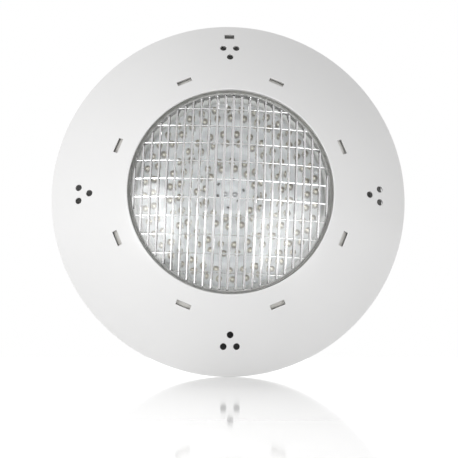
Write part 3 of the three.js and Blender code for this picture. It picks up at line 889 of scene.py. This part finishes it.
def screw(head, shank, seat, top, low, pitch):
    """A pan-head screw with a cross recess. Its head stands on seat up to top, and its tip is at low."""
    height = top - seat
    under = seat - 0.05
    crown = [(0, under), (head, under, 0.1), (head, top - height * 0.1, height * 0.8), (0, top)]
    cap = lathe(rounded(crown, 6), 40)
    depth, half, narrow = height * 0.75, head * 0.55, head * 0.12
    arms = [
        block((-half, half), (top - depth, top + 1), (-narrow, narrow)),
        block((-narrow, narrow), (top - depth, top + 1), (-half, half)),
    ]
    cap = combined(cap, "DIFFERENCE", arms)
    rod_part = threaded_rod(shank * 0.78, shank, pitch, low, seat + 0.02, shank * 1.5)
    return combined(cap, "UNION", [rod_part])


def screws(name, kind, count, body, head, shank, seat_depth, pitch):
    """One piece for several screws of a kind; each stands where its CAD node stands."""
    nodes = [f"{kind}_{i + 1}" for i in range(count)]
    meshes = []
    for i, node in enumerate(nodes):
        low, high = box_of(node)
        middle = middle_of(node)
        one = screw(head, shank, high.y - seat_depth, high.y, low.y, pitch)
        meshes.append(moved(turned(one, 37 * i), middle.x, 0, middle.z))
    add_piece(name, together(meshes), STEEL, body, nodes, 40)


def all_screws():
    """Every screw. The head and the shank are given by their radii."""
    wall = {"head": 4.4, "shank": 2.0, "seat_depth": 2.2, "pitch": 1.6}
    clamp = {"head": 2.6, "shank": 1.4, "seat_depth": 1.7, "pitch": 1.1}
    cover = {"head": 2.1, "shank": 1.1, "seat_depth": 1.3, "pitch": 0.9}
    board = {"head": 1.9, "shank": 1.2, "seat_depth": 1.4, "pitch": 0.9}
    screws("wall_screws", "wall_screw", 4, "wall_side", **wall)
    screws("clamp_screws", "clamp_screw", CLAMP_SCREWS, "front_unit", **clamp)
    screws("cover_screws", "latch_cover_screw", 2, "front_unit", **cover)
    screws("board_screws", "board_screw", 4, "lamp", **board)


# ---------------------------------------------------------------- wall side


def wall_ring():
    """The ring on the wall, with the latch's catch at its top and the pin's two lugs at its bottom."""
    _, high = box_of("wall_ring")
    inner, outer, thick = 110, 126, 6
    section = [(inner, 0, 0.3), (outer, 0, 0.3), (outer, thick, 0.8), (inner, thick, 0.8)]
    band = lathe(rounded(section), FINE)
    catch_foot = 120
    catch_middle = (0, (high.z + catch_foot) / 2)
    catch = plate(rounded_box(22, high.z - catch_foot, 1.0, centre=catch_middle), 0, 5.7)
    nose = arc(3.1, -120, 30, (PIN_OUT, PIN_Z))
    outline = [(0, -122), (0, PIN_Z - 0.5), *nose, (thick, -127), (thick, -122)]
    lugs = [rib(outline, left, left + 4.5) for left in (-15, 10.5)]
    ring = combined(band, "UNION", [catch, *lugs])
    pocket = block((-6.5, 6.5), (-1, 3.7), (127, 136.8))
    window = block((-6, 6), (3, 7), (127, 133.3))
    pin_hole = cross_rod(PIN_BORE - 0.05, -20, 20, PIN_OUT, PIN_Z)
    screw_circle = 118
    tools = [pocket, window, pin_hole]
    for i in range(4):
        angle = 45 + 90 * i
        tools.append(turned(rod(2.4, -1, 4, screw_circle), angle))
        tools.append(turned(rod(4.9, 3.2, 7, screw_circle), angle))
    ring = combined(ring, "DIFFERENCE", tools)
    bevelled("wall_ring_body", ring, HOUSING_PLASTIC, "wall_side", ["wall_ring"])


def hook_pin():
    low, high = box_of("hook_pin")
    middle, radius = middle_of("hook_pin"), (high.z - low.z) / 2
    ends = [(low.x, radius - 0.4), (low.x + 0.4, radius), (high.x - 0.4, radius), (high.x, radius - 0.4)]
    pin = loft([[(x, *p) for p in circle(r, 40, (middle.y, middle.z))] for x, r in ends])
    add_piece("pin", pin, STEEL, "wall_side", ["hook_pin"])


# ---------------------------------------------------------------- front unit


def bevelled(name, mesh, material, body, replaces, width=0.35):
    """Adds a piece whose sharp edges are rounded a little, as moulded plastic's are."""
    piece = add_piece(name, mesh, material, body, replaces, 30)
    round_edges(piece, width)


def round_edges(piece, width):
    bevel = piece.modifiers.new("round_edges", "BEVEL")
    bevel.width = width * MM
    bevel.segments = 2
    bevel.limit_method = "ANGLE"
    bevel.angle_limit = math.radians(40)


def housing_hook():
    """The hook that hangs over the pin, its arm, and the two webs that stiffen it."""
    over = 3.9
    centre = (PIN_OUT, PIN_Z)
    front_tip, back_tip = PIN_Z - 1, PIN_Z - 3
    outline = [(PIN_OUT + over, front_tip), *arc(over, 0, 180, centre), (PIN_OUT - over, back_tip)]
    outline += [(PIN_OUT - PIN_BORE, back_tip), *arc(PIN_BORE, 180, 0, centre)]
    outline.append((PIN_OUT + PIN_BORE, front_tip))
    hook = rib(outline, -10, 10)
    arm = block((-10, 10), (FLANGE_BACK, FLANGE_FRONT), (PIN_Z + 3.3, -120))
    web = [(8.5, -131), (10.5, -131), (18.5, -112), (18.5, -94), (8.5, -94)]
    return [hook, arm, *[rib(web, left, left + 2) for left in (-10, 8)]]


def lamp_housing():
    """The bowl behind the lamp, with its flange, lamp seat, screw bosses, latch guide and bottom hook."""
    profile = [
        (0, HOUSING_BACK),
        (60, HOUSING_BACK, 3.0),
        (78, -32, 5.0),
        (89, -14, 5.0),
        (94.5, FLANGE_BACK, 0.8),
        (122, FLANGE_BACK, 0.8),
        (122, FLANGE_FRONT, 0.8),
        (94.5, FLANGE_FRONT, 0.6),
        (94.5, BOSS_TOP, 0.4),
        (SEAT_RADIUS, BOSS_TOP, 0.4),
        (SEAT_RADIUS, 27, 0.4),
        (84.5, 27, 0.4),
        (84.5, 24.2, 0.4),
        (91, 20, 0.5),
        (91, 6.5, 1.0),
        (85.7, -13, 4.0),
        (75, -30.2, 4.0),
        (58.6, -44.8, 2.0),
        (0, -44.8),
    ]
    bowl = lathe(rounded(profile, 6), FINE)
    boss = rod(BOSS_RADIUS, FLANGE_BACK + 1, BOSS_TOP, BOSS_CIRCLE, segments=40)
    bosses = around(boss, CLAMP_SCREWS)
    guide = block((-11, 11), (FLANGE_BACK, GUIDE_FRONT), (98, 128))
    bowl = combined(bowl, "UNION", [*bosses, guide, *housing_hook()])
    channel = block((-5.4, 5.4), (7.1, 20), (104, 140))
    aside = COVER_SCREWS_APART / 2
    cover_holes = [rod(1.4, 8, 20, x, COVER_SCREWS_Z) for x in (-aside, aside)]
    screw_holes = around(rod(SCREW_HOLE, 21, 40, BOSS_CIRCLE), CLAMP_SCREWS)
    gland = middle_of("gland_body")
    gland_hole = rod(GLAND_HOLE, HOUSING_BACK - 2, HOUSING_BACK + 8, gland.x, gland.z, 64)
    tools = [channel, *cover_holes, *screw_holes, gland_hole]
    bowl = combined(bowl, "DIFFERENCE", tools)
    bevelled("housing_body", bowl, HOUSING_PLASTIC, "front_unit", ["lamp_housing"])


def lamp_gasket():
    profile = [
        (84.9, 27.3, 0.4),
        (90.8, 27.3, 0.4),
        (90.8, 38.6, 0.5),
        (83.2, 38.6, 0.4),
        (83.2, 36.8, 0.4),
        (88.8, 36.8, 0.5),
        (88.8, 29.5, 0.5),
        (84.9, 29.5, 0.4),
    ]
    add_piece("gasket", lathe(rounded(profile), FINE), SILICONE, "front_unit", ["lamp_gasket"])


def latch_spring():
    """A compression spring of round wire along Z, under the latch."""
    low, high = box_of("latch_spring")
    middle = middle_of("latch_spring")
    wire, coil, turns = 0.35, 2.0, 4
    steps = 36 * turns
    sections = []
    for i in range(steps + 1):
        angle = 2 * math.pi * turns * i / steps
        z = low.z + wire + (high.z - low.z - 2 * wire) * i / steps
        section = []
        for k in range(8):
            across, up = polar(wire, 45 * k)
            reach = coil + across
            section.append((middle.x + reach * math.cos(angle), middle.y + reach * math.sin(angle), z + up))
        sections.append(section)
    add_piece("spring", loft(sections), STEEL, "front_unit", ["latch_spring"])


def hexagonal(corner, low, high, chamfer):
    """A hexagonal nut about the Y axis whose corners are turned off at both ends."""
    prism = plate(circle(corner, 6), low, high)
    inner, outer, step = corner - chamfer, corner + 0.1, chamfer * 0.6
    profile = [(0, low), (inner, low), (outer, low + step), (outer, high - step), (inner, high), (0, high)]
    return combined(prism, "INTERSECT", [lathe(profile, 64)])


def ridged_tube(low, high):
    """A tube along Y whose outer thread is drawn as rings a pitch apart."""
    profile = [(GLAND_BORE, low), (THREAD_CORE, low)]
    count = int((high - low) / THREAD_PITCH)
    for i in range(count):
        start = low + (high - low) * i / count
        profile += [(THREAD_CORE, start + 0.2), (THREAD_CREST, start + 0.6)]
        profile += [(THREAD_CREST, start + 0.9), (THREAD_CORE, start + 1.3)]
    return lathe([*profile, (THREAD_CORE, high), (GLAND_BORE, high)], 64)


def gland_piece(name, mesh, node):
    """Adds a piece that was made about the lamp's axis, moved to the gland's own."""
    axis = middle_of("gland_body")
    mesh = moved(mesh, axis.x, 0, axis.z)
    add_piece(name, mesh, GLAND_PLASTIC, "front_unit", [node])


def cable_gland():
    """The gland in the housing's back: its body, the locknut inside, and the nut that squeezes its seal."""
    back = HOUSING_BACK
    flange = hexagonal(12.5, back - 6, back - 0.3, 1.2)
    body = combined(ridged_tube(back - 15, back + 10), "UNION", [flange])
    body = combined(body, "DIFFERENCE", [rod(GLAND_BORE, -90, 0, segments=64)])
    gland_piece("gland_stem", body, "gland_body")
    locknut = hexagonal(11.5, back + 3.5, back + 8.5, 1.0)
    locknut = combined(locknut, "DIFFERENCE", [rod(GLAND_HOLE, back - 5, back + 20, segments=64)])
    gland_piece("locknut", locknut, "gland_locknut")
    cap = [
        (5.1, back - 23.5, 0.4),
        (7.5, back - 23.5, 1.2),
        (9.6, back - 18, 1.0),
        (9.6, back - 17, 0),
        (GLAND_HOLE, back - 17, 0),
        (GLAND_HOLE, back - 19.5, 0),
        (5.1, back - 19.5, 0),
    ]
    collar = hexagonal(12.0, back - 18, back - 7, 1.4)
    collar = combined(collar, "DIFFERENCE", [rod(GLAND_HOLE, back - 19, back, segments=64)])
    nut = combined(collar, "UNION", [lathe(rounded(cap), 96)])
    gland_piece("gland_cap", nut, "gland_nut")


# ---------------------------------------------------------------- CAD nodes that keep their shape


NODE_MATERIALS = {
    "release_latch": BODY_PLASTIC,
    "latch_cover": HOUSING_PLASTIC,
    "lamp_bowl": LAMP_SHELL,
    "gland_seal": RUBBER,
    "heat_spreader": ALUMINIUM,
    "driver_board": DRIVER_GREEN,
    "driver_coil": COPPER,
    "rectifier": BLACK_PLASTIC,
    "capacitor": BLACK_PLASTIC,
    "driver_standoff": BRASS,
    "terminal_post": BRASS,
    "terminal_screw": BRASS,
    "board_lead_1": LEAD_BLACK,
    "terminal_lead_1": LEAD_BLACK,
    "board_lead_2": LEAD_RED,
    "terminal_lead_2": LEAD_RED,
}
ROUNDED_NODES = ("latch_cover", "rectifier", "terminal_post", "terminal_screw", "driver_standoff")


def dress_cad_nodes():
    """Gives each CAD node that shows its material, by its own name or by the name without its number."""
    for name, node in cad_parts.items():
        plain_name = name.rstrip("0123456789").rstrip("_")
        material = NODE_MATERIALS.get(name) or NODE_MATERIALS.get(plain_name)
        if material:
            for slot in node.material_slots:
                slot.material = material
        if plain_name in ROUNDED_NODES:
            round_edges(node, 0.3)


# ---------------------------------------------------------------- stage


def floor():
    """A pale, glossy floor out to the horizon, level with the face ring's foot. Its glow is least near the
    light, as a painted soft shadow round its foot.
    """
    low, _ = box_of("face_ring")
    half = 6.0
    mesh = bmesh.new()
    corners = [(-half, -half), (half, -half), (half, half), (-half, half)]
    mesh.faces.new([mesh.verts.new((x, y, low.z * MM)) for x, y in corners])
    data = bpy.data.meshes.new("floor")
    mesh.to_mesh(data)
    material, tree, shader, place = new_material("pale_floor")
    tree.links.new(ramp(tree, noise(tree, place, scale=3.0), 0.86, 0.9), shader.inputs["Base Color"])
    shader.inputs["Roughness"].default_value = 0.05
    shader.inputs["IOR"].default_value = 2.0
    shader.inputs["Emission Color"].default_value = (1, 1, 1, 1)
    distance = tree.nodes.new("ShaderNodeVectorMath")
    distance.operation = "LENGTH"
    tree.links.new(place, distance.inputs[0])
    # Painted shadow: the glow is weakest near the light's centre, which darkens the floor round its foot.
    painted_shadow_fade = tree.nodes.new("ShaderNodeMapRange")
    painted_shadow_fade.inputs["From Min"].default_value = FLOOR_PAINTED_SHADOW_REACH[0]
    painted_shadow_fade.inputs["From Max"].default_value = FLOOR_PAINTED_SHADOW_REACH[1]
    painted_shadow_fade.inputs["To Min"].default_value = FLOOR_GLOW[0]
    painted_shadow_fade.inputs["To Max"].default_value = FLOOR_GLOW[1]
    tree.links.new(distance.outputs["Value"], painted_shadow_fade.inputs["Value"])
    tree.links.new(painted_shadow_fade.outputs["Result"], shader.inputs["Emission Strength"])
    data.materials.append(material)
    ground = bpy.data.objects.new("floor", data)
    bpy.context.scene.collection.objects.link(ground)
    ground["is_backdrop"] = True
    return ground


def softbox(name, place, target, across, height, power, off_the_floor):
    """An oval light that faces its target. The floor neither shows it nor stands in its way."""
    data = bpy.data.lights.new(name, "AREA")
    data.shape = "ELLIPSE"
    data.size = across
    data.size_y = height
    data.energy = power
    light = bpy.data.objects.new(name, data)
    light.location = place
    light.rotation_euler = (Vector(target) - Vector(place)).to_track_quat("-Z", "Y").to_euler()
    light.visible_camera = False
    light.light_linking.receiver_collection = off_the_floor
    light.light_linking.blocker_collection = off_the_floor
    bpy.context.scene.collection.objects.link(light)


def studio(ground):
    """A white backdrop, dimmer as a light than as a picture and brighter on the left, and two softboxes."""
    scene = bpy.context.scene
    scene.view_settings.view_transform = "Standard"
    world = bpy.data.worlds.new("studio")
    world.use_nodes = True
    scene.world = world
    tree = world.node_tree
    lighting = tree.nodes["Background"]
    backdrop = tree.nodes.new("ShaderNodeBackground")
    coordinates = tree.nodes.new("ShaderNodeTexCoord")
    slope = tree.nodes.new("ShaderNodeVectorMath")
    slope.operation = "DOT_PRODUCT"
    slope.inputs[1].default_value = WORLD_SLOPE
    level = tree.nodes.new("ShaderNodeMath")
    level.operation = "ADD"
    level.inputs[1].default_value = WORLD_LIGHT
    towards_back = tree.nodes.new("ShaderNodeVectorMath")
    towards_back.operation = "DOT_PRODUCT"
    towards_back.inputs[1].default_value = (0, 1, 0)
    behind = tree.nodes.new("ShaderNodeMath")
    behind.operation = "MULTIPLY"
    behind.use_clamp = True
    behind.inputs[1].default_value = BACK_LIGHT
    both = tree.nodes.new("ShaderNodeMath")
    both.operation = "ADD"
    path = tree.nodes.new("ShaderNodeLightPath")
    mix = tree.nodes.new("ShaderNodeMixShader")
    lighting.inputs["Color"].default_value = (1, 1, 1, 1)
    backdrop.inputs["Color"].default_value = (1, 1, 1, 1)
    tree.links.new(coordinates.outputs["Generated"], slope.inputs[0])
    tree.links.new(slope.outputs["Value"], level.inputs[0])
    tree.links.new(coordinates.outputs["Generated"], towards_back.inputs[0])
    tree.links.new(towards_back.outputs["Value"], behind.inputs[0])
    tree.links.new(level.outputs["Value"], both.inputs[0])
    tree.links.new(behind.outputs["Value"], both.inputs[1])
    tree.links.new(both.outputs["Value"], lighting.inputs["Strength"])
    tree.links.new(path.outputs["Is Camera Ray"], mix.inputs[0])
    tree.links.new(lighting.outputs["Background"], mix.inputs[1])
    tree.links.new(backdrop.outputs["Background"], mix.inputs[2])
    tree.links.new(mix.outputs["Shader"], tree.nodes["World Output"].inputs["Surface"])
    off_the_floor = bpy.data.collections.new("off_the_floor")
    off_the_floor.objects.link(ground)
    for member in off_the_floor.collection_objects:
        member.light_linking.link_state = "EXCLUDE"
    for name, place, across, height, power in SOFTBOXES:
        softbox(name, place, (0, LENS_FRONT_Y, place[2]), across, height, power, off_the_floor)


def camera():
    scene = bpy.context.scene
    data = bpy.data.cameras.new("camera")
    data.lens = CAMERA_LENS_MM
    data.sensor_width = 36
    eye = bpy.data.objects.new("camera", data)
    eye.location = CAMERA_PLACE
    eye.rotation_euler = Vector(CAMERA_DIRECTION).to_track_quat("-Z", "Y").to_euler()
    scene.collection.objects.link(eye)
    scene.camera = eye


camera()
studio(floor())
dress_cad_nodes()
face_ring()
lens()
lens_seal()
led_array()
circuit_board()
board_parts()
clamp_ring()
all_screws()
wall_ring()
hook_pin()
lamp_housing()
lamp_gasket()
latch_spring()
cable_gland()

boxes = {"cad": cad_box, "visual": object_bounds()}
{k: [list(map(float, corner)) for corner in v] for k, v in boxes.items()}
